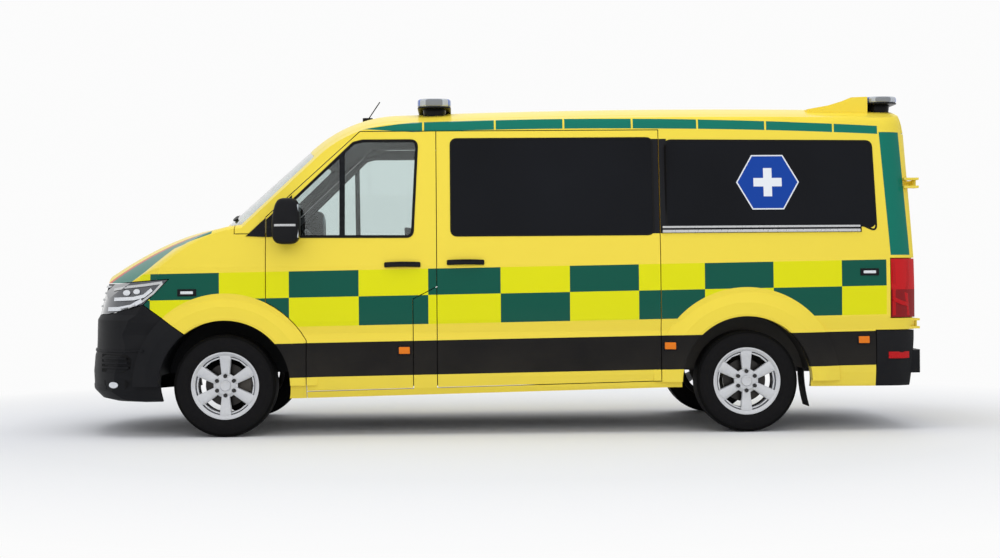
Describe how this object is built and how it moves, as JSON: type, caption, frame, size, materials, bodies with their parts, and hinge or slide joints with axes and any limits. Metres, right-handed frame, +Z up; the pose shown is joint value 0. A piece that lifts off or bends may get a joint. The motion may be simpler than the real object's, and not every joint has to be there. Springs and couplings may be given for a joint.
{
  "type": "ambulance",
  "caption": "Light-care ambulance on a low-roof panel van, with hinged cab and rear doors, bonnet, steered front wheels, roof light bars and glazed sides.",
  "frame": {"origin": "on the floor, below the middle of the van's length and width", "axes": "+X forward, +Y to the van's left, +Z up"},
  "size_m": [5.9858, 2.426, 2.4282],
  "materials": {
    "yellow_paint": "gloss",
    "dark_metal": "satin",
    "black_plastic": "matte",
    "grey_plastic": "matte",
    "dark_glass": "polished",
    "clear_glass": "polished",
    "lamp_lens": "polished",
    "red_lens": "gloss",
    "blue_lens": "gloss",
    "alloy": "satin",
    "bare_steel": "satin",
    "cast_iron": "rough",
    "tyre_rubber": "matte",
    "seat_cloth": "woven"
  },
  "bodies": {
    "body": {"body_shell": "yellow_paint", "roof": "yellow_paint", "sliding_doors": "yellow_paint", "side_windows": "dark_glass", "windscreen": "clear_glass", "front_wings": "yellow_paint", "headlamps": "lamp_lens", "grille": "black_plastic", "front_bumper": "yellow_paint", "tail_lamps": "red_lens", "rear_bumper": "yellow_paint", "rear_hinges": "dark_metal", "underbody": "dark_metal", "bulkheads": "dark_metal", "dashboard": "grey_plastic", "cab_seats": "seat_cloth", "engine_block": "cast_iron", "front_subframe": "dark_metal", "rear_axle": "dark_metal", "fuel_tank": "black_plastic", "exhaust": "bare_steel", "wheel_liners": "black_plastic", "light_bars": "blue_lens", "roof_fairing": "yellow_paint", "antenna": "black_plastic", "panel_clips": "dark_metal"},
    "bonnet": {"bonnet": "yellow_paint"},
    "steering_wheel": {"steering_wheel": "grey_plastic"},
    "front_door_left": {"cab_door_left": "yellow_paint", "cab_glass_left": "clear_glass", "mirror_left": "black_plastic"},
    "back_door_left": {"rear_door_left": "yellow_paint", "rear_glass_left": "dark_glass"},
    "steering_left": {"knuckle_left": "cast_iron"},
    "wheel_front_left": {"rim_front_left": "alloy", "tyre_front_left": "tyre_rubber"},
    "wheel_rear_left": {"rim_rear_left": "alloy", "tyre_rear_left": "tyre_rubber"},
    "front_door_right": {"cab_door_right": "yellow_paint", "cab_glass_right": "clear_glass", "mirror_right": "black_plastic"},
    "back_door_right": {"rear_door_right": "yellow_paint", "rear_glass_right": "dark_glass"},
    "steering_right": {"knuckle_right": "cast_iron"},
    "wheel_front_right": {"rim_front_right": "alloy", "tyre_front_right": "tyre_rubber"},
    "wheel_rear_right": {"rim_rear_right": "alloy", "tyre_rear_right": "tyre_rubber"}
  },
  "joints": [
    {"name": "bonnet_hinge", "type": "hinge", "parent": "body", "child": "bonnet", "pos_m": [1.863, 0, 1.486], "axis": [0, -1, 0], "range_deg": [0, 50]},
    {"name": "steering_wheel_turn", "type": "hinge", "parent": "body", "child": "steering_wheel", "pos_m": [1.293, 0.45, 1.29], "axis": [-0.788, 0, 0.6157], "range_deg": [-510, 510]},
    {"name": "front_door_left_hinge", "type": "hinge", "parent": "body", "child": "front_door_left", "pos_m": [1.649, 1.002, 1.2], "axis": [0, 0, -1], "range_deg": [0, 70]},
    {"name": "back_door_left_hinge", "type": "hinge", "parent": "body", "child": "back_door_left", "pos_m": [-2.937, 0.826, 1.4], "axis": [0, 0, -1], "range_deg": [0, 180]},
    {"name": "steering_left_turn", "type": "hinge", "parent": "body", "child": "steering_left", "pos_m": [1.933, 0.79, 0.357], "axis": [0, 0, 1], "range_deg": [-35, 35]},
    {"name": "wheel_front_left_roll", "type": "hinge", "parent": "steering_left", "child": "wheel_front_left", "pos_m": [1.933, 0.875, 0.357], "axis": [0, 1, 0], "continuous": true},
    {"name": "wheel_rear_left_roll", "type": "hinge", "parent": "body", "child": "wheel_rear_left", "pos_m": [-1.707, 0.875, 0.357], "axis": [0, 1, 0], "continuous": true},
    {"name": "front_door_right_hinge", "type": "hinge", "parent": "body", "child": "front_door_right", "pos_m": [1.649, -1.002, 1.2], "axis": [0, 0, 1], "range_deg": [0, 70]},
    {"name": "back_door_right_hinge", "type": "hinge", "parent": "body", "child": "back_door_right", "pos_m": [-2.937, -0.826, 1.4], "axis": [0, 0, 1], "range_deg": [0, 180]},
    {"name": "steering_right_turn", "type": "hinge", "parent": "body", "child": "steering_right", "pos_m": [1.933, -0.79, 0.357], "axis": [0, 0, 1], "range_deg": [-35, 35]},
    {"name": "wheel_front_right_roll", "type": "hinge", "parent": "steering_right", "child": "wheel_front_right", "pos_m": [1.933, -0.875, 0.357], "axis": [0, 1, 0], "continuous": true},
    {"name": "wheel_rear_right_roll", "type": "hinge", "parent": "body", "child": "wheel_rear_right", "pos_m": [-1.707, -0.875, 0.357], "axis": [0, 1, 0], "continuous": true}
  ],
  "couplings": [
    {"joint": "steering_right_turn", "follows": "steering_left_turn", "ratio": 1},
    {"joint": "steering_wheel_turn", "follows": "steering_left_turn", "ratio": 14.5}
  ]
}
